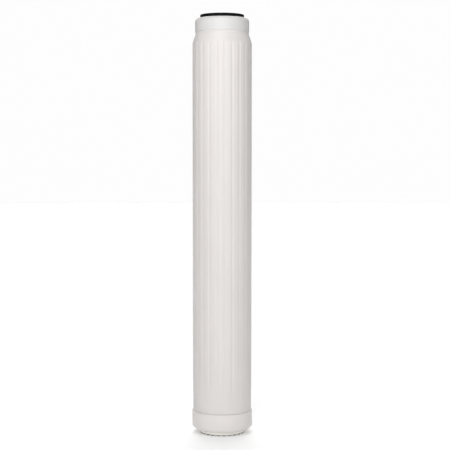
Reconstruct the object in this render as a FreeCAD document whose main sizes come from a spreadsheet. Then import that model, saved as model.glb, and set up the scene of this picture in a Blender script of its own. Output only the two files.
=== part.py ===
import FreeCAD, Part
import os
import re

import Sketcher

# Drop-in descaler filter cartridge, standing upright on its foot ring. Millimetres, +Z up along the
# axis of the cartridge, origin at the centre of the foot on the surface it stands on, -Y to the front.

DRIVING_SIZES = [
    # Whole cartridge
    ("overall_length", 508.0),
    # Casing: tube, flutes, eased lower band, spigots, shoulder and neck
    ("casing_radius", 35.8),
    ("casing_wall", 3.2),
    ("land_step", 0.4),
    ("land_rise", 10.4),
    ("ease_rise", 25.0),
    ("spigot_step", 0.6),
    ("flute_count", 24),
    ("flute_depth", 0.42),
    ("flute_cutter", 5.0),
    ("flute_turn", 5.0),
    ("shoulder_rise", 10.3),
    ("shoulder_inner_drop", 1.2),
    ("ledge_step", 0.45),
    ("ledge_rise", 3.0),
    ("neck_bore", 27.6),
    ("neck_wall", 2.9),
    ("neck_end_gap", 0.3),
    # Inlet cap: skirt, chamfer, foot ring with its gaps, inlet slots and locating socket
    ("cap_height", 27.6),
    ("skirt_wall", 1.7),
    ("seat_rise", 3.3),
    ("chamfer_rise", 4.4),
    ("chamfer_run", 5.0),
    ("floor_thickness", 3.4),
    ("foot_inset", 4.2),
    ("foot_wall", 2.6),
    ("foot_height", 4.2),
    ("foot_gap_width", 5.0),
    ("foot_gap_height", 0.8),
    ("foot_gap_count", 24),
    ("inlet_slot_count", 24),
    ("inlet_slot_width", 2.0),
    ("inlet_slot_margin", 1.2),
    ("socket_radius", 14.0),
    ("socket_wall", 2.0),
    ("socket_depth", 7.0),
    ("socket_roof", 2.2),
    # Outlet cap: collar with its rounded top edge, outlet bore over a grid, stiffening ribs
    ("collar_wall", 2.05),
    ("collar_rise", 16.5),
    ("collar_round", 4.6),
    ("collar_round_steps", 4),
    ("outlet_plate", 3.5),
    ("outlet_radius", 14.0),
    ("outlet_wall", 2.0),
    ("outlet_depth", 8.0),
    ("grid_thickness", 2.0),
    ("grid_slot_count", 8),
    ("grid_slot_width", 2.4),
    ("grid_hub_radius", 4.5),
    ("grid_margin", 1.2),
    ("rib_count", 8),
    ("rib_thickness", 1.6),
    # Gasket and its seat
    ("gasket_margin", 6.15),
    ("gasket_set_back", 0.6),
    ("gasket_proud", 4.0),
    ("gasket_seat", 1.0),
    # Filling
    ("foam_length", 12.0),
    # Clearances
    ("fit_gap", 0.1),
    ("pad_gap", 0.3),
]

# Levels and radii that follow from the driving sizes.
FOLLOWING_SIZES = {
    "casing_bore": "casing_radius - casing_wall",
    "land_radius": "casing_radius - land_step",
    "spigot_radius": "land_radius - spigot_step",
    "land_top": "cap_height + land_rise",
    "ease_top": "land_top + ease_rise",
    "skirt_bore": "spigot_radius + fit_gap",
    "cap_radius": "skirt_bore + skirt_wall",
    "chamfer_foot": "cap_radius - chamfer_run",
    "chamfer_top": "foot_height + chamfer_rise",
    "foot_radius": "chamfer_foot - foot_inset",
    "foot_bore": "foot_radius - foot_wall",
    "floor_top": "foot_height + floor_thickness",
    "seat_height": "floor_top + seat_rise",
    "roof_low": "foot_height + socket_depth",
    "roof_top": "roof_low + socket_roof",
    "socket_outer": "socket_radius + socket_wall",
    "cap_top": "overall_length - gasket_proud",
    "plate_under": "cap_top - outlet_plate",
    "collar_low": "cap_top - collar_rise",
    "neck_spigot_radius": "neck_bore + neck_wall",
    "collar_bore": "neck_spigot_radius + fit_gap",
    "collar_radius": "collar_bore + collar_wall",
    "grid_top": "cap_top - outlet_depth",
    "grid_low": "grid_top - grid_thickness",
    "outlet_outer": "outlet_radius + outlet_wall",
    "gasket_low": "cap_top - gasket_seat",
    "gasket_pocket": "collar_radius - gasket_margin + fit_gap",
    "gasket_radius": "collar_radius - gasket_margin",
    "gasket_bore": "outlet_radius + gasket_set_back",
    "neck_top": "plate_under - neck_end_gap",
    "ledge_radius": "collar_radius - ledge_step",
    "ledge_low": "collar_low - ledge_rise",
    "shoulder_low": "ledge_low - shoulder_rise",
    "flare_low": "shoulder_low - shoulder_inner_drop",
    "bed_radius": "casing_bore - pad_gap",
    "bed_top": "flare_low - foam_length",
    "neck_pad_radius": "neck_bore - pad_gap",
    "ring_bore": "socket_outer + pad_gap",
}

FRONT = FreeCAD.Vector(0, 0, 1)
FULL_TURN = 360.0
HALF_TURN = 180.0
QUARTER_TURN = 90.0

doc = FreeCAD.newDocument("descaler_cartridge")
sheet = doc.addObject("Spreadsheet::Sheet", "Sizes")
for row, (alias, value) in enumerate(DRIVING_SIZES, start=1):
    sheet.set(f"A{row}", alias)
    sheet.set(f"B{row}", str(value))
    sheet.setAlias(f"B{row}", alias)
doc.recompute()
SHEET_NAMES = {alias for alias, value in DRIVING_SIZES}


def formula(text):
    """Turns size names into an expression on the sheet's cells."""

    def spell(match):
        word = match.group(0)
        if word in FOLLOWING_SIZES:
            return "(" + formula(FOLLOWING_SIZES[word]) + ")"
        return "Sizes." + word if word in SHEET_NAMES else word

    return re.sub(r"[a-z_]+", spell, text)


def number(text):
    """The present value of an expression, in millimetres or degrees."""
    return float(sheet.evalExpression(formula(text)))


def new_body(label):
    body = doc.addObject("PartDesign::Body", label)
    body.Label = label
    return body


def new_sketch(body, name, plane, level=None, turn=None):
    """A sketch on one of the body's own planes, lifted to a level and turned about the axis."""
    sketch = body.newObject("Sketcher::SketchObject", name)
    support = next(p for p in body.Origin.OriginFeatures if p.Role == plane)
    sketch.AttachmentSupport = [(support, "")]
    sketch.MapMode = "FlatFace"
    lift = FreeCAD.Vector(0, 0, number(level) if level else 0)
    angle = number(turn) if turn else 0
    sketch.AttachmentOffset = FreeCAD.Placement(lift, FreeCAD.Rotation(FRONT, angle))
    if level:
        sketch.setExpression("AttachmentOffset.Base.z", formula(level))
    if turn:
        sketch.setExpression("AttachmentOffset.Rotation.Angle", formula(turn))
    return sketch


def place_point(sketch, geometry, end, across, up):
    """Ties a point of the sketch to two expressions, or to an axis where one of them is zero."""
    for kind, text, axis in (("DistanceX", across, -2), ("DistanceY", up, -1)):
        if text == "0":
            sketch.addConstraint(Sketcher.Constraint("PointOnObject", geometry, end, axis))
            continue
        tie = Sketcher.Constraint(kind, -1, 1, geometry, end, number(text))
        index = sketch.addConstraint(tie)
        sketch.setExpression(f"Constraints[{index}]", formula(text))


def outline(sketch, corners):
    """Draws a closed outline through corners (across, up)."""
    points = [FreeCAD.Vector(number(across), number(up), 0) for across, up in corners]
    count = len(corners)
    lines = []
    for i, point in enumerate(points):
        line = Part.LineSegment(point, points[(i + 1) % count])
        lines.append(sketch.addGeometry(line, False))
    for i, (across, up) in enumerate(corners):
        sketch.addConstraint(Sketcher.Constraint("Coincident", lines[i - 1], 2, lines[i], 1))
        place_point(sketch, lines[i], 1, across, up)


def rounded_edge(radius, height, reach, steps):
    """Corners of a rounded top edge, from the side up to the top, with an equal turn at each."""
    count = round(number(steps))
    corners = []
    for k in range(count + 1):
        angle = f"{QUARTER_TURN} * {k} / ({steps})"
        across = f"{radius} - {reach} * (1 - cos({angle}))"
        up = f"{height} - {reach} * (1 - sin({angle}))"
        corners.append((across, up))
    return corners


def turned(label, corners):
    """A body turned about the cartridge's axis from its half section (radius, height)."""
    body = new_body(label)
    sketch = new_sketch(body, label + "_section", "XZ_Plane")
    outline(sketch, corners)
    solid = body.newObject("PartDesign::Revolution", label + "_turned")
    solid.Profile = sketch
    solid.ReferenceAxis = (sketch, ["V_Axis"])
    solid.Angle = FULL_TURN
    sketch.Visibility = False
    body.Tip = solid
    doc.recompute()
    return body


def radial_box(sketch, width, inner, outer):
    """A rectangle that lies along a radius at the front of the cartridge."""
    half = f"({width}) / 2"
    corners = [
        (f"-{half}", f"-({outer})"),
        (half, f"-({outer})"),
        (half, f"-({inner})"),
        (f"-{half}", f"-({inner})"),
    ]
    outline(sketch, corners)


def grow(body, kind, sketch, length, count):
    """Adds or cuts the sketch upwards by a length, then repeats it evenly around the axis."""
    before = body.Tip.Shape.Volume
    feature = body.newObject("PartDesign::" + kind, sketch.Label.replace("_sketch", ""))
    feature.Profile = sketch
    feature.setExpression("Length", formula(length))
    feature.Reversed = kind == "Pocket"
    sketch.Visibility = False
    pattern = body.newObject("PartDesign::PolarPattern", feature.Label + "_pattern")
    pattern.Originals = [feature]
    pattern.Axis = (sketch, ["N_Axis"])
    pattern.Angle = FULL_TURN
    pattern.setExpression("Occurrences", formula(count))
    body.Tip = pattern
    doc.recompute()
    change = pattern.Shape.Volume - before
    if (change < 0) != (kind == "Pocket"):
        raise RuntimeError(f"{feature.Label} changed nothing")


def casing():
    """Tube with flutes, an eased lower band, a spigot for each cap and a flared shoulder."""
    body = turned(
        "casing",
        [
            ("casing_bore", "seat_height"),
            ("spigot_radius", "seat_height"),
            ("spigot_radius", "cap_height"),
            ("land_radius", "cap_height"),
            ("land_radius", "land_top"),
            ("casing_radius", "ease_top"),
            ("casing_radius", "shoulder_low"),
            ("ledge_radius", "ledge_low"),
            ("ledge_radius", "collar_low"),
            ("neck_spigot_radius", "collar_low"),
            ("neck_spigot_radius", "neck_top"),
            ("neck_bore", "neck_top"),
            ("neck_bore", "ledge_low"),
            ("casing_bore", "flare_low"),
        ],
    )
    sketch = new_sketch(body, "flute_sketch", "XY_Plane", "cap_height", "flute_turn")
    distance = "casing_radius - flute_depth + flute_cutter"
    centre = FreeCAD.Vector(0, -number(distance), 0)
    circle = Part.Circle(centre, FRONT, number("flute_cutter"))
    cutter = sketch.addGeometry(circle, False)
    place_point(sketch, cutter, 3, "0", f"-({distance})")
    index = sketch.addConstraint(Sketcher.Constraint("Radius", cutter, number("flute_cutter")))
    sketch.setExpression(f"Constraints[{index}]", formula("flute_cutter"))
    grow(body, "Pocket", sketch, "overall_length - cap_height", "flute_count")


def inlet_cap():
    """Lower cap: gapped foot ring, chamfer, skirt, central locating socket and inlet slots."""
    body = turned(
        "inlet_cap",
        [
            ("0", "roof_low"),
            ("socket_radius", "roof_low"),
            ("socket_radius", "foot_height"),
            ("foot_bore", "foot_height"),
            ("foot_bore", "0"),
            ("foot_radius", "0"),
            ("foot_radius", "foot_height"),
            ("chamfer_foot", "foot_height"),
            ("cap_radius", "chamfer_top"),
            ("cap_radius", "cap_height"),
            ("skirt_bore", "cap_height"),
            ("skirt_bore", "seat_height"),
            ("casing_bore", "seat_height"),
            ("casing_bore", "floor_top"),
            ("socket_outer", "floor_top"),
            ("socket_outer", "roof_top"),
            ("0", "roof_top"),
        ],
    )
    slots = new_sketch(body, "inlet_slot_sketch", "XY_Plane", "foot_height", "flute_turn")
    radial_box(
        slots,
        "inlet_slot_width",
        "socket_outer + inlet_slot_margin",
        "foot_bore - inlet_slot_margin",
    )
    grow(body, "Pocket", slots, "floor_thickness", "inlet_slot_count")
    half_pitch = f"flute_turn + {HALF_TURN} / foot_gap_count"
    gaps = new_sketch(body, "foot_gap_sketch", "XY_Plane", None, half_pitch)
    radial_box(gaps, "foot_gap_width", "foot_bore - foot_wall", "foot_radius + foot_wall")
    grow(body, "Pocket", gaps, "foot_gap_height", "foot_gap_count")


def outlet_cap():
    """Upper cap: collar with a rounded edge, gasket seat, outlet bore over a grid, and ribs."""
    body = turned(
        "outlet_cap",
        [
            ("0", "grid_low"),
            ("outlet_outer", "grid_low"),
            ("outlet_outer", "plate_under"),
            ("collar_bore", "plate_under"),
            ("collar_bore", "collar_low"),
            ("collar_radius", "collar_low"),
            *rounded_edge("collar_radius", "cap_top", "collar_round", "collar_round_steps"),
            ("gasket_pocket", "cap_top"),
            ("gasket_pocket", "gasket_low"),
            ("outlet_radius", "gasket_low"),
            ("outlet_radius", "grid_top"),
            ("0", "grid_top"),
        ],
    )
    slots = new_sketch(body, "grid_slot_sketch", "XY_Plane", "grid_low", "flute_turn")
    radial_box(slots, "grid_slot_width", "grid_hub_radius", "outlet_radius - grid_margin")
    grow(body, "Pocket", slots, "grid_thickness", "grid_slot_count")
    half_pitch = f"flute_turn + {HALF_TURN} / grid_slot_count"
    ribs = new_sketch(body, "rib_sketch", "XY_Plane", "grid_low", half_pitch)
    radial_box(ribs, "rib_thickness", "outlet_outer - outlet_wall / 2", "neck_bore - pad_gap")
    grow(body, "Pad", ribs, "plate_under - grid_low", "rib_count")


def top_gasket():
    """Flat rubber ring that stands proud of the outlet cap."""
    turned(
        "top_gasket",
        [
            ("gasket_bore", "gasket_low"),
            ("gasket_radius", "gasket_low"),
            ("gasket_radius", "overall_length"),
            ("gasket_bore", "overall_length"),
        ],
    )


def filling():
    """What the water passes on its way up: felt ring, bead bed, foam disc and felt plug."""
    turned(
        "inlet_pad",
        [
            ("ring_bore", "floor_top"),
            ("bed_radius", "floor_top"),
            ("bed_radius", "roof_top"),
            ("ring_bore", "roof_top"),
        ],
    )
    discs = [
        ("media_bed", "bed_radius", "roof_top", "bed_top"),
        ("expansion_pad", "bed_radius", "bed_top", "flare_low"),
        ("post_filter", "neck_pad_radius", "flare_low", "grid_low"),
    ]
    for label, radius, low, high in discs:
        turned(label, [("0", low), (radius, low), (radius, high), ("0", high)])


def check_and_write():
    """Stops if any object failed or any piece is not one valid solid, then writes the pieces."""
    doc.recompute()
    for item in doc.Objects:
        if {"Invalid", "Error"} & set(item.State):
            raise RuntimeError(f"{item.Label} failed: {item.State}")
    os.makedirs("parts", exist_ok=True)
    for body in [o for o in doc.Objects if o.TypeId == "PartDesign::Body"]:
        shape = body.Shape
        if shape.isNull() or not shape.isValid() or len(shape.Solids) != 1:
            raise RuntimeError(f"{body.Label} is not one valid solid")
        shape.exportStep(f"parts/{body.Label}.step")
        box = shape.BoundBox
        print(f"{body.Label}: {shape.Volume / 1000:.2f} cm3, z {box.ZMin:.2f} to {box.ZMax:.2f}")


casing()
inlet_cap()
outlet_cap()
top_gasket()
filling()
check_and_write()
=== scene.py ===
import cmath
import math

import bpy
import numpy as np
from mathutils import Matrix, Vector, noise


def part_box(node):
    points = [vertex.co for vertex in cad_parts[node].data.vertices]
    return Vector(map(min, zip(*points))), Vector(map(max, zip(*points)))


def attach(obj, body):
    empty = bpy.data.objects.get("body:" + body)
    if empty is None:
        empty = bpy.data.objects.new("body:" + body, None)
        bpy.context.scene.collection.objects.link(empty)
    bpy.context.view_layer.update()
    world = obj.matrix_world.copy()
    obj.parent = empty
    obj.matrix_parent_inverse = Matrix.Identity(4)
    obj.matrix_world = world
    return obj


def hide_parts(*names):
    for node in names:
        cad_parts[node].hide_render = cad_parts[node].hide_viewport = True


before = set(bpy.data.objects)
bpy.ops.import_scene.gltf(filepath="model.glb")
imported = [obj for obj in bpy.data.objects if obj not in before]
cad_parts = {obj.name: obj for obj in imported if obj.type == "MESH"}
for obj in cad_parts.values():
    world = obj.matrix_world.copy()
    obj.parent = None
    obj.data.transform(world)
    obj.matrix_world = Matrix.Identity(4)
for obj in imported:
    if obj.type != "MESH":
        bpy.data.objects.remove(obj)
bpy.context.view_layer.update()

# Looks of the drop-in descaler cartridge. Metres, +Z up along its axis, -Y to the front.
MM = 0.001
FULL_TURN = 2 * math.pi
CLEARANCE = 0.1 * MM

# Sizes read from the frame
CASING_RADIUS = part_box("casing")[1].x
CASING_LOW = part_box("casing")[0].z
CASING_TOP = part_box("casing")[1].z
CAP_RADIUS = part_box("inlet_cap")[1].x
CAP_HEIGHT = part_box("inlet_cap")[1].z
COLLAR_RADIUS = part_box("outlet_cap")[1].x
COLLAR_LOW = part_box("outlet_cap")[0].z
COLLAR_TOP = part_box("outlet_cap")[1].z
GASKET_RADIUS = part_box("top_gasket")[1].x
GASKET_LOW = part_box("top_gasket")[0].z
GASKET_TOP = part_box("top_gasket")[1].z
FELT_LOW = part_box("inlet_pad")[0].z
BED_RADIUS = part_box("media_bed")[1].x
BED_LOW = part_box("media_bed")[0].z
BED_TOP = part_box("media_bed")[1].z
FOAM_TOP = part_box("expansion_pad")[1].z
PLUG_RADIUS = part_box("post_filter")[1].x
PLUG_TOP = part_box("post_filter")[1].z

# Casing
CASING_WALL = 3.2 * MM
FLUTES = 24
PITCH = FULL_TURN / FLUTES
FIRST_FLUTE = math.radians(5)
FLUTE_SAMPLES = 24
FLUTE_DEPTH = 0.42 * MM
FLUTE_CUTTER = 5 * MM
FLUTE_SOFTNESS = 0.15 * MM
CASING_BORE = CASING_RADIUS - CASING_WALL
LAND_RADIUS = CASING_RADIUS - 0.4 * MM
LAND_TOP = CAP_HEIGHT + 10.4 * MM
EASE_TOP = LAND_TOP + 25 * MM
SPIGOT_RADIUS = LAND_RADIUS - 0.6 * MM
LEDGE_RADIUS = COLLAR_RADIUS - 0.45 * MM
LEDGE_LOW = COLLAR_LOW - 3 * MM
SHOULDER_LOW = LEDGE_LOW - 10.3 * MM
FLARE_LOW = SHOULDER_LOW - 1.2 * MM
EASE_ROUND = 500 * MM
SHOULDER_ROUND = 12 * MM
LEDGE_ROUND = 3 * MM
THROAT_ROUND = 2 * MM
NECK_BORE = 27.6 * MM
NECK_SPIGOT = NECK_BORE + 2.9 * MM

# Inlet cap
SKIRT_BORE = SPIGOT_RADIUS + CLEARANCE
CHAMFER_FOOT = CAP_RADIUS - 5 * MM
FOOT_HEIGHT = 4.2 * MM
CHAMFER_TOP = FOOT_HEIGHT + 4.4 * MM
CHAMFER_ROUND = 1.6 * MM
FOOT_RADIUS = CHAMFER_FOOT - 4.2 * MM
FOOT_BORE = FOOT_RADIUS - 2.6 * MM
FOOT_GAP_WIDTH = 5 * MM
FOOT_GAP_HEIGHT = 0.8 * MM
SOCKET_RADIUS = 14 * MM
SOCKET_OUTER = SOCKET_RADIUS + 2 * MM
SOCKET_TOP = FOOT_HEIGHT + 7 * MM
INLET_SLOT_WIDTH = 2 * MM
SLOT_MARGIN = 1.2 * MM

# Outlet cap
COLLAR_BORE = NECK_SPIGOT + CLEARANCE
COLLAR_ROUND = 4.6 * MM
PLATE_LOW = COLLAR_TOP - 3.5 * MM
OUTLET_RADIUS = 14 * MM
OUTLET_OUTER = OUTLET_RADIUS + 2 * MM
GRID_TOP = COLLAR_TOP - 8 * MM
GRID_SLOTS = 8
GRID_SLOT_WIDTH = 2.4 * MM
GRID_HUB = 4.5 * MM
RIB_THICKNESS = 1.6 * MM
GASKET_BORE = OUTLET_RADIUS + 0.6 * MM
GASKET_POCKET = GASKET_RADIUS + CLEARANCE

# Filling
RING_BORE = SOCKET_OUTER + 0.3 * MM
FILLING_EDGE = 0.8 * MM
LUMP = 1.6 * MM
LUMP_DEPTH = 0.25 * MM
BEAD_RADIUS = 2.4 * MM

# Edges and mesh steps
CAP_SIDES = 288
CRISP = 0.25 * MM
SOFT = 0.6 * MM
FILM = 0.05 * MM
ARC_STEP = math.radians(10)
FEWEST_ARC_STEPS = 4
SHARP_ANGLE = math.radians(28)
TUBE_STEP = 24 * MM
RUN_OUT_STEP = 0.3 * MM
RUN_OUT_REACH = 3 * MM
FELT_STEP = 0.9 * MM
BEAD_STEP = 1.1 * MM

# Colours
BODY_WHITE = (0.606, 0.581, 0.569)
BODY_SHADE = (0.591, 0.566, 0.554)
COLLAR_WHITE = (0.572, 0.56, 0.553)
# Painted shade on the collar's rounded top edge.
COLLAR_EDGE_PAINTED_SHADE = (0.47, 0.46, 0.453)
CAP_WHITE = (0.64, 0.614, 0.602)
# Painted light: the chamfer's upper part made lighter than the rest of the cap.
CHAMFER_PAINTED_LIGHT = (0.71, 0.69, 0.665)
# Painted shade: a grey band on the chamfer's lower part, over the fold into the foot ring.
CHAMFER_PAINTED_SHADE = (0.57, 0.555, 0.53)
# Cream tint of the foot ring, made lighter than the cap with painted light.
CREAM_AND_PAINTED_LIGHT = (0.8, 0.78, 0.73)
# Painted contact shadow on the lowest millimetre of the foot, where it stands on the table.
PAINTED_CONTACT_SHADOW = (0.15, 0.145, 0.135)
WARMER_INSIDE = (1.0, 0.95, 0.9)
RUBBER_DARK = (0.002, 0.002, 0.002)
RUBBER_BLOOM = (0.004, 0.004, 0.004)
FELT_SHADE = (0.66, 0.65, 0.62)
FELT_WHITE = (0.86, 0.85, 0.83)
# Painted shade in the foam's cell hollows.
FOAM_HOLLOW_PAINTED_SHADE = (0.22, 0.22, 0.21)
FOAM_GREY = (0.66, 0.66, 0.64)
BEAD_DARK = (0.42, 0.27, 0.1)
BEAD_AMBER = (0.6, 0.42, 0.18)
BEAD_PALE = (0.7, 0.55, 0.3)
TABLE_WHITE = (0.765, 0.765, 0.765)

# Camera, as fitted to the photograph
LENS = 96.92
SENSOR = 36
EYE = (3.47 * MM, -1474.8 * MM, 333.6 * MM)
TILT_DOWN = math.radians(3.083)
NEAREST, FARTHEST = 0.05, 50

# Studio light. Each lobe is (toward, power, strength).
BACKGROUND = 0.985
TOP_LOBE = ((0, 0, 1), 1, 0.35)
BACK_LOBE = ((0, 0.55, 0.83), 12, 5.2)
FRONT_LOBE = ((-0.03, -0.97, 0.12), 8, 4.15)
KEY_PLACE = (-0.12, -0.6, 0.9)
KEY_TARGET = (0, 0, 0.4)
KEY_SIZE = (0.4, 0.3)
KEY_POWER = 2.3
TABLE_RADIUS = 8.0
TABLE_SIDES = 64
TABLE_GLOW = 0.22


def rounded(corners):
    """Points (radius, height) of a closed outline with corners (radius, height, round)."""
    spots = [complex(radius, height) for radius, height, size in corners]
    points = []
    for i, spot in enumerate(spots):
        before = spots[i - 1] - spot
        after = spots[(i + 1) % len(spots)] - spot
        start, finish = before / abs(before), after / abs(after)
        turn = math.pi - abs(cmath.phase(finish / start))
        size = corners[i][2]
        reach = size * math.tan(turn / 2)
        if reach < FILM / 10:
            points.append((spot.real, spot.imag))
            continue
        across = start + finish
        centre = spot + across / abs(across) * math.hypot(size, reach)
        arm = spot + start * reach - centre
        sweep = cmath.phase((spot + finish * reach - centre) / arm)
        steps = max(FEWEST_ARC_STEPS, math.ceil(abs(sweep) / ARC_STEP))
        for k in range(steps + 1):
            point = centre + arm * cmath.exp(1j * sweep * k / steps)
            points.append((point.real, point.imag))
    return points


def divided(points, spacing):
    """The outline with more points on its long stretches, spacing(radius, height) apart."""
    result = []
    for i, (radius, height) in enumerate(points):
        result.append((radius, height))
        next_radius, next_height = points[(i + 1) % len(points)]
        if radius == 0 and next_radius == 0:
            continue
        length = math.hypot(next_radius - radius, next_height - height)
        steps = math.ceil(length / spacing(radius, (height + next_height) / 2))
        for k in range(1, steps):
            share = k / steps
            radius_there = radius + (next_radius - radius) * share
            result.append((radius_there, height + (next_height - height) * share))
    return result


def turned(name, outline, sides, shape=None):
    """A closed skin: the outline turned about the axis. shape(points) may move its points."""
    rows = []
    points = []
    for radius, height in outline:
        count = 1 if radius == 0 else sides
        rows.append(range(len(points), len(points) + count))
        for j in range(count):
            angle = FULL_TURN * j / sides
            points.append((radius * math.sin(angle), -radius * math.cos(angle), height))
    faces = []
    for i, low in enumerate(rows):
        high = rows[(i + 1) % len(rows)]
        if len(low) == len(high) == 1:
            continue
        for j in range(sides):
            k = (j + 1) % sides
            ring = [low[j % len(low)], low[k % len(low)], high[k % len(high)], high[j % len(high)]]
            faces.append(list(dict.fromkeys(ring)))
    points = np.array(points)
    if shape:
        points = shape(points)
    mesh = bpy.data.meshes.new(name)
    mesh.from_pydata(points.tolist(), [], faces)
    piece = bpy.data.objects.new(name, mesh)
    bpy.context.scene.collection.objects.link(piece)
    return piece


def radial_boxes(count, first, width, inner, outer, low, high):
    """Upright boxes that lie along radii, evenly spaced around the axis, as one mesh."""
    corners = [
        (across * width / 2, -along, up)
        for up in (low, high)
        for across, along in ((-1, inner), (1, inner), (1, outer), (-1, outer))
    ]
    sides = [(0, 1, 2, 3), (7, 6, 5, 4), (0, 4, 5, 1), (1, 5, 6, 2), (2, 6, 7, 3), (3, 7, 4, 0)]
    points, faces = [], []
    for k in range(count):
        turn = Matrix.Rotation(first + FULL_TURN * k / count, 3, "Z")
        base = len(points)
        points += [turn @ Vector(corner) for corner in corners]
        faces += [[base + i for i in side] for side in sides]
    mesh = bpy.data.meshes.new("boxes")
    mesh.from_pydata(points, [], faces)
    boxes = bpy.data.objects.new("boxes", mesh)
    bpy.context.scene.collection.objects.link(boxes)
    return boxes


def combine(piece, boxes, operation):
    """Cuts the boxes out of a piece or joins them to it, and deletes them."""
    step = piece.modifiers.new(operation, "BOOLEAN")
    step.operation = operation
    step.object = boxes
    step.solver = "EXACT"
    keep_result(piece)
    bpy.data.objects.remove(boxes)


def keep_result(piece):
    """Makes what the modifiers give the piece's own mesh."""
    shown = piece.evaluated_get(bpy.context.evaluated_depsgraph_get())
    mesh = bpy.data.meshes.new_from_object(shown)
    piece.modifiers.clear()
    piece.data = mesh


def dress(piece, node, material):
    """Smooth shading, material, a place under the root body, and the CAD node that the piece stands
    for hidden.
    """
    piece.data.shade_smooth()
    piece.data.set_sharp_from_angle(angle=SHARP_ANGLE)
    piece.data.materials.clear()
    piece.data.materials.append(material)
    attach(piece, "root")
    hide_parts(node)


def flutes(points):
    """Presses the flutes into the casing: round grooves with softened edges."""
    radius = np.hypot(points[:, 0], points[:, 1])
    angle = np.arctan2(points[:, 0], -points[:, 1]) - FIRST_FLUTE
    off = angle - PITCH * np.round(angle / PITCH)
    distance = CASING_RADIUS - FLUTE_DEPTH + FLUTE_CUTTER
    under = np.maximum(FLUTE_CUTTER**2 - (distance * np.sin(off)) ** 2, 0)
    groove = distance * np.cos(off) - np.sqrt(under)
    blend = np.maximum(FLUTE_SOFTNESS - np.abs(radius - groove), 0) / FLUTE_SOFTNESS
    pressed = np.minimum(radius, groove) - blend**2 * FLUTE_SOFTNESS / 4
    points[:, :2] *= (pressed / radius)[:, None]
    return points


def casing(material):
    """Tube with flutes that run out on the flared shoulder, spigots and neck."""
    outline = rounded([
        (CASING_BORE, CASING_LOW, CRISP),
        (SPIGOT_RADIUS, CASING_LOW, SOFT),
        (SPIGOT_RADIUS, CAP_HEIGHT, FILM),
        (LAND_RADIUS, CAP_HEIGHT, CRISP),
        (LAND_RADIUS, LAND_TOP, EASE_ROUND),
        (CASING_RADIUS, EASE_TOP, EASE_ROUND),
        (CASING_RADIUS, SHOULDER_LOW, SHOULDER_ROUND),
        (LEDGE_RADIUS, LEDGE_LOW, LEDGE_ROUND),
        (LEDGE_RADIUS, COLLAR_LOW, CRISP),
        (NECK_SPIGOT, COLLAR_LOW, FILM),
        (NECK_SPIGOT, CASING_TOP, SOFT),
        (NECK_BORE, CASING_TOP, SOFT),
        (NECK_BORE, LEDGE_LOW, THROAT_ROUND),
        (CASING_BORE, FLARE_LOW, THROAT_ROUND),
    ])

    def spacing(radius, height):
        outside = radius > SPIGOT_RADIUS
        near_run_out = abs(height - SHOULDER_LOW - RUN_OUT_REACH / 3) < RUN_OUT_REACH
        return RUN_OUT_STEP if outside and near_run_out else TUBE_STEP

    piece = turned("casing_body", divided(outline, spacing), FLUTES * FLUTE_SAMPLES, flutes)
    dress(piece, "casing", material)


def inlet_cap(material):
    """Lower cap: gapped foot ring, chamfer, skirt, inlet slots and centring socket."""
    outline = rounded([
        (0, SOCKET_TOP, 0),
        (SOCKET_RADIUS, SOCKET_TOP, SOFT),
        (SOCKET_RADIUS, FOOT_HEIGHT, SOFT),
        (FOOT_BORE, FOOT_HEIGHT, SOFT),
        (FOOT_BORE, 0, CRISP),
        (FOOT_RADIUS, 0, CRISP),
        (FOOT_RADIUS, FOOT_HEIGHT, SOFT),
        (CHAMFER_FOOT, FOOT_HEIGHT, SOFT),
        (CAP_RADIUS, CHAMFER_TOP, CHAMFER_ROUND),
        (CAP_RADIUS, CAP_HEIGHT, SOFT),
        (SKIRT_BORE, CAP_HEIGHT, CRISP),
        (SKIRT_BORE, CASING_LOW, CRISP),
        (CASING_BORE, CASING_LOW, CRISP),
        (CASING_BORE, FELT_LOW, SOFT),
        (SOCKET_OUTER, FELT_LOW, SOFT),
        (SOCKET_OUTER, BED_LOW, SOFT),
        (0, BED_LOW, 0),
    ])
    piece = turned("inlet_cap_body", outline, CAP_SIDES)
    inner, outer = SOCKET_OUTER + SLOT_MARGIN, FOOT_BORE - SLOT_MARGIN
    slots = radial_boxes(
        FLUTES, FIRST_FLUTE, INLET_SLOT_WIDTH, inner, outer, FOOT_HEIGHT - MM, FELT_LOW + MM
    )
    combine(piece, slots, "DIFFERENCE")
    gaps = radial_boxes(
        FLUTES,
        FIRST_FLUTE + PITCH / 2,
        FOOT_GAP_WIDTH,
        FOOT_BORE - MM,
        FOOT_RADIUS + MM,
        -MM,
        FOOT_GAP_HEIGHT,
    )
    combine(piece, gaps, "DIFFERENCE")
    dress(piece, "inlet_cap", material)


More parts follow.
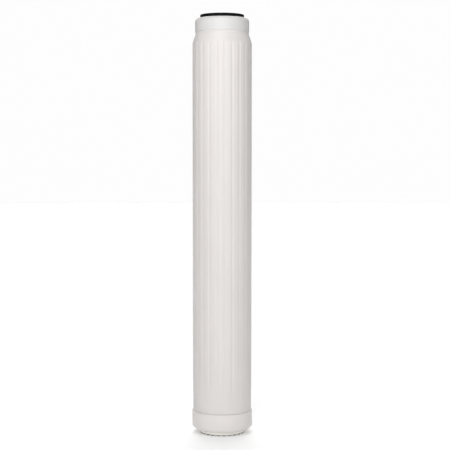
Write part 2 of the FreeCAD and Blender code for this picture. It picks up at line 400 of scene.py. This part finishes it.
def outlet_cap(material):
    """Upper cap: collar with its rounded edge, gasket seat, outlet bore, grid and ribs."""
    outline = rounded([
        (0, PLUG_TOP, 0),
        (OUTLET_OUTER, PLUG_TOP, CRISP),
        (OUTLET_OUTER, PLATE_LOW, SOFT),
        (COLLAR_BORE, PLATE_LOW, SOFT),
        (COLLAR_BORE, COLLAR_LOW, CRISP),
        (COLLAR_RADIUS, COLLAR_LOW, CRISP),
        (COLLAR_RADIUS, COLLAR_TOP, COLLAR_ROUND),
        (GASKET_POCKET, COLLAR_TOP, CRISP),
        (GASKET_POCKET, GASKET_LOW, FILM),
        (OUTLET_RADIUS, GASKET_LOW, CRISP),
        (OUTLET_RADIUS, GRID_TOP, SOFT),
        (0, GRID_TOP, 0),
    ])
    piece = turned("outlet_cap_body", outline, CAP_SIDES)
    ribs = radial_boxes(
        GRID_SLOTS,
        FIRST_FLUTE + FULL_TURN / GRID_SLOTS / 2,
        RIB_THICKNESS,
        OUTLET_OUTER - MM,
        PLUG_RADIUS,
        PLUG_TOP,
        PLATE_LOW + MM,
    )
    combine(piece, ribs, "UNION")
    inner, outer = GRID_HUB, OUTLET_RADIUS - SLOT_MARGIN
    slots = radial_boxes(
        GRID_SLOTS, FIRST_FLUTE, GRID_SLOT_WIDTH, inner, outer, PLUG_TOP - MM, GRID_TOP + MM
    )
    combine(piece, slots, "DIFFERENCE")
    dress(piece, "outlet_cap", material)


def top_gasket(material):
    """Flat rubber ring with moulded edges."""
    outline = rounded([
        (GASKET_BORE, GASKET_LOW, CRISP),
        (GASKET_RADIUS, GASKET_LOW, CRISP),
        (GASKET_RADIUS, GASKET_TOP, CRISP),
        (GASKET_BORE, GASKET_TOP, CRISP),
    ])
    piece = turned("gasket_ring", outline, CAP_SIDES)
    dress(piece, "top_gasket", material)


def roughened(size, depth):
    """A shape that sinks the surface by up to depth, unevenly, with lumps of that size."""

    def sink(points):
        middle = points.mean(axis=0)
        for point in points:
            share = 0.5 + 0.5 * noise.noise(Vector(point) / size)
            point += (middle - point) / np.linalg.norm(middle - point) * depth * share
        return points

    return sink


def beaded(points):
    """A shape that makes the surface of packed beads."""
    for point in points:
        gap = noise.voronoi(Vector(point) / (2 * BEAD_RADIUS))[0][0] * 2 * BEAD_RADIUS
        sink = BEAD_RADIUS - math.sqrt(max(BEAD_RADIUS**2 - gap**2, 0))
        radius = math.hypot(point[0], point[1])
        if radius > BED_RADIUS / 2:
            point[:2] *= 1 - sink / radius
        if point[2] > (BED_TOP + BED_LOW) / 2:
            point[2] -= sink
    return points


def filling(felt, foam, beads):
    """What lies inside: felt ring, bead bed, foam disc and felt plug."""
    pieces = [
        ("felt_ring", "inlet_pad", RING_BORE, BED_RADIUS, FELT_LOW, BED_LOW, felt, "felt"),
        ("bead_bed", "media_bed", 0, BED_RADIUS, BED_LOW, BED_TOP, beads, "beads"),
        ("foam_disc", "expansion_pad", 0, BED_RADIUS, BED_TOP, FOAM_TOP, foam, "foam"),
        ("felt_plug", "post_filter", 0, PLUG_RADIUS, FOAM_TOP, PLUG_TOP, felt, "felt"),
    ]
    for name, node, inner, outer, low, high, material, slot in pieces:
        edge = FILLING_EDGE
        bore_edge = edge if inner else 0
        step = BEAD_STEP if slot == "beads" else FELT_STEP
        corners = [
            (inner, low, bore_edge), (outer, low, edge), (outer, high, edge), (inner, high, bore_edge)
        ]
        outline = divided(rounded(corners), lambda radius, height: step)
        shape = beaded if slot == "beads" else roughened(LUMP, LUMP_DEPTH)
        piece = turned(name, outline, round(FULL_TURN * outer / step), shape)
        dress(piece, node, material)


class Finish:
    """A material's nodes, with short calls for the patterns that it is made of."""

    def __init__(self, name, specular):
        self.material = bpy.data.materials.new(name)
        self.material.use_nodes = True
        self.nodes = self.material.node_tree.nodes
        self.links = self.material.node_tree.links
        self.shader = self.nodes["Principled BSDF"]
        self.shader.inputs["Specular IOR Level"].default_value = specular
        self.place = self.nodes.new("ShaderNodeTexCoord").outputs["Object"]
        self.relief = None

    def spot(self, size):
        """Object coordinates in units of size, one number or one for each axis, in millimetres."""
        sizes = size if isinstance(size, tuple) else (size,) * 3
        mapping = self.nodes.new("ShaderNodeMapping")
        mapping.inputs["Scale"].default_value = [1 / (s * MM) for s in sizes]
        self.links.new(self.place, mapping.inputs["Vector"])
        return mapping.outputs["Vector"]

    def clouds(self, size, detail=3.0):
        """A soft uneven pattern, with patches of about that size."""
        texture = self.nodes.new("ShaderNodeTexNoise")
        texture.inputs["Scale"].default_value = 1.0
        texture.inputs["Detail"].default_value = detail
        self.links.new(self.spot(size), texture.inputs["Vector"])
        return texture.outputs["Fac"]

    def cells(self, size):
        """Rounded cells of about that size, 0 at their centres."""
        texture = self.nodes.new("ShaderNodeTexVoronoi")
        texture.inputs["Scale"].default_value = 1.0
        self.links.new(self.spot(size), texture.inputs["Vector"])
        return texture.outputs["Distance"]

    def height(self, low, high):
        """From 0 at one height to 1 at another."""
        place = self.nodes.new("ShaderNodeSeparateXYZ")
        self.links.new(self.place, place.inputs["Vector"])
        return self.between(place.outputs["Z"], 0, 1, low, high)

    def between(self, pattern, low, high, start=0.3, stop=0.7):
        """The pattern's range from start to stop, spread from low to high."""
        spread = self.nodes.new("ShaderNodeMapRange")
        for name, value in (
            ("From Min", start), ("From Max", stop), ("To Min", low), ("To Max", high)
        ):
            spread.inputs[name].default_value = value
        self.links.new(pattern, spread.inputs["Value"])
        return spread.outputs["Result"]

    def colours(self, pattern, *stops):
        """Base colour by the pattern. Each stop is (place along the pattern, colour)."""
        ramp = self.nodes.new("ShaderNodeValToRGB")
        bands = ramp.color_ramp.elements
        while len(bands) < len(stops):
            bands.new(0.5)
        for band, (place, colour) in zip(bands, stops):
            band.position = place
            band.color = (*colour, 1)
        self.links.new(pattern, ramp.inputs["Fac"])
        self.links.new(ramp.outputs["Color"], self.shader.inputs["Base Color"])

    def roughness(self, pattern, low, high):
        """Roughness by the pattern, from low to high."""
        self.links.new(self.between(pattern, low, high), self.shader.inputs["Roughness"])

    def bump(self, pattern, height):
        """Relief of that height, in millimetres, on top of any before it."""
        bump = self.nodes.new("ShaderNodeBump")
        bump.inputs["Distance"].default_value = height * MM
        bump.inputs["Strength"].default_value = 1.0
        self.links.new(pattern, bump.inputs["Height"])
        if self.relief:
            self.links.new(self.relief, bump.inputs["Normal"])
        self.relief = bump.outputs["Normal"]
        self.links.new(self.relief, self.shader.inputs["Normal"])

    def soft_inside(self, weight, depth):
        """Light that enters the material and leaves it near by, depth in millimetres."""
        self.shader.inputs["Subsurface Weight"].default_value = weight
        self.shader.inputs["Subsurface Scale"].default_value = depth * MM
        self.shader.inputs["Subsurface Radius"].default_value = WARMER_INSIDE


def polypropylene(name, streak):
    """Satin white moulding: flow lines along the height and a fine mould grain, no colour yet."""
    finish = Finish(name, specular=0.42)
    finish.roughness(finish.clouds((5, 5, 40)), 0.4, 0.5)
    finish.bump(finish.clouds((2.4, 2.4, streak)), 0.02)
    finish.bump(finish.clouds(0.35, 2.0), 0.008)
    finish.soft_inside(0.25, 2.0)
    return finish


def body_plastic():
    """The casing's plastic, with faint clouds."""
    finish = polypropylene("polypropylene_body", streak=90)
    finish.colours(finish.clouds((26, 26, 70)), (0.3, BODY_SHADE), (0.7, BODY_WHITE))
    return finish.material


def foot_plastic():
    """The lower cap's plastic: a cream foot ring lightened with painted light, a painted contact
    shadow where it stands, and on the chamfer a band of painted shade below a band of painted light.
    """
    finish = polypropylene("polypropylene_foot", streak=9)
    finish.colours(
        finish.height(0, CHAMFER_TOP),
        (0.12, PAINTED_CONTACT_SHADOW),
        (0.17, CREAM_AND_PAINTED_LIGHT),
        (0.57, CREAM_AND_PAINTED_LIGHT),
        (0.62, CHAMFER_PAINTED_SHADE),
        (0.69, CHAMFER_PAINTED_SHADE),
        (0.8, CHAMFER_PAINTED_LIGHT),
        (1, CAP_WHITE),
    )
    return finish.material


def collar_plastic():
    """The upper cap's plastic, greyer on its rounded top edge with painted shade."""
    finish = polypropylene("polypropylene_collar", streak=12)
    # Band of painted shade over the rounded top edge.
    edge = finish.height(COLLAR_TOP - COLLAR_ROUND, COLLAR_TOP)
    finish.colours(edge, (0.2, COLLAR_WHITE), (0.8, COLLAR_EDGE_PAINTED_SHADE))
    return finish.material


def rubber():
    """Black moulded rubber, matte, with a fine grain and a faint bloom."""
    finish = Finish("gasket_rubber", specular=0.1)
    finish.colours(finish.clouds(4), (0.35, RUBBER_DARK), (0.75, RUBBER_BLOOM))
    finish.roughness(finish.clouds(2.5), 0.6, 0.8)
    finish.bump(finish.clouds(0.4, 4.0), 0.02)
    return finish.material


def felt():
    """Pressed white fibres that cross each other."""
    finish = Finish("white_felt", specular=0.1)
    finish.colours(finish.clouds(1.1), (0.3, FELT_SHADE), (0.7, FELT_WHITE))
    finish.roughness(finish.clouds(3), 0.9, 1.0)
    finish.bump(finish.clouds((0.25, 1.6, 0.4)), 0.12)
    finish.bump(finish.clouds((1.6, 0.25, 0.4)), 0.12)
    finish.shader.inputs["Sheen Weight"].default_value = 0.3
    return finish.material


def foam():
    """Light grey open-cell foam, with painted shade in the cell hollows."""
    finish = Finish("open_cell_foam", specular=0.2)
    cells = finish.cells(1.1)
    finish.colours(cells, (0.1, FOAM_HOLLOW_PAINTED_SHADE), (0.6, FOAM_GREY))
    finish.roughness(finish.clouds(3), 0.85, 0.95)
    finish.bump(cells, 0.5)
    return finish.material


def beads():
    """Amber beads, packed, each a little different."""
    finish = Finish("amber_beads", specular=0.5)
    finish.colours(finish.clouds(5, 1.0), (0.3, BEAD_DARK), (0.5, BEAD_AMBER), (0.7, BEAD_PALE))
    finish.roughness(finish.clouds(2), 0.25, 0.45)
    finish.bump(finish.clouds(0.6), 0.03)
    return finish.material


def area_light(name, place, target, size, power):
    """A soft rectangular light at place that faces target."""
    data = bpy.data.lights.new(name, "AREA")
    data.shape = "RECTANGLE"
    data.size, data.size_y = size
    data.energy = power
    light = bpy.data.objects.new(name, data)
    light.location = place
    light.rotation_euler = (Vector(target) - Vector(place)).to_track_quat("-Z", "Y").to_euler()
    bpy.context.scene.collection.objects.link(light)


def surroundings(seen, lobes):
    """A white studio that looks evenly bright. Each lobe is light that falls off around one
    direction: faster with a higher power, and seen only by what it lights."""
    world = bpy.data.worlds.new("studio")
    world.use_nodes = True
    bpy.context.scene.world = world
    nodes, links = world.node_tree.nodes, world.node_tree.links
    direction = nodes.new("ShaderNodeTexCoord").outputs["Generated"]
    level = nodes.new("ShaderNodeMapRange")
    level.inputs["To Max"].default_value = seen
    given = None
    for toward, power, strength in lobes:
        facing = nodes.new("ShaderNodeVectorMath")
        facing.operation = "DOT_PRODUCT"
        facing.inputs[1].default_value = Vector(toward).normalized()
        links.new(direction, facing.inputs[0])
        bounded = nodes.new("ShaderNodeClamp")
        links.new(facing.outputs["Value"], bounded.inputs["Value"])
        shaped = nodes.new("ShaderNodeMath")
        shaped.operation = "POWER"
        shaped.inputs[1].default_value = power
        links.new(bounded.outputs["Result"], shaped.inputs[0])
        total = nodes.new("ShaderNodeMath")
        total.operation = "MULTIPLY_ADD"
        total.inputs[1].default_value = strength
        total.inputs[2].default_value = 0
        links.new(shaped.outputs["Value"], total.inputs[0])
        if given:
            links.new(given, total.inputs[2])
        given = total.outputs["Value"]
    links.new(given, level.inputs["To Min"])
    ray = nodes.new("ShaderNodeLightPath").outputs["Is Camera Ray"]
    links.new(ray, level.inputs["Value"])
    links.new(level.outputs["Result"], nodes["Background"].inputs["Strength"])
    nodes["Background"].inputs["Color"].default_value = (1, 1, 1, 1)


def floor(radius, colour, glow):
    """The white table that the cartridge stands on, faintly lit from within."""
    finish = Finish("white_table", specular=0.1)
    finish.shader.inputs["Base Color"].default_value = (*colour, 1)
    finish.shader.inputs["Emission Color"].default_value = (1, 1, 1, 1)
    finish.shader.inputs["Emission Strength"].default_value = glow
    finish.shader.inputs["Roughness"].default_value = 0.9
    mesh = bpy.data.meshes.new("table")
    angles = [FULL_TURN * k / TABLE_SIDES for k in range(TABLE_SIDES)]
    rim = [(radius * math.cos(a), radius * math.sin(a), 0) for a in angles]
    mesh.from_pydata(rim, [], [range(TABLE_SIDES)])
    mesh.materials.append(finish.material)
    table = bpy.data.objects.new("table", mesh)
    bpy.context.scene.collection.objects.link(table)


def camera():
    """The photograph's view: above the middle of the cartridge, tilted a little down."""
    data = bpy.data.cameras.new("camera")
    data.lens = LENS
    data.sensor_width = SENSOR
    data.clip_start, data.clip_end = NEAREST, FARTHEST
    eye = bpy.data.objects.new("camera", data)
    eye.location = EYE
    eye.rotation_euler = (math.pi / 2 - TILT_DOWN, 0, 0)
    bpy.context.scene.collection.objects.link(eye)
    bpy.context.scene.camera = eye


casing(body_plastic())
inlet_cap(foot_plastic())
outlet_cap(collar_plastic())
top_gasket(rubber())
filling(felt(), foam(), beads())

bpy.context.scene.view_settings.view_transform = "Standard"
surroundings(BACKGROUND, [TOP_LOBE, BACK_LOBE, FRONT_LOBE])
floor(TABLE_RADIUS, TABLE_WHITE, TABLE_GLOW)
area_light("key", KEY_PLACE, KEY_TARGET, KEY_SIZE, KEY_POWER)
camera()
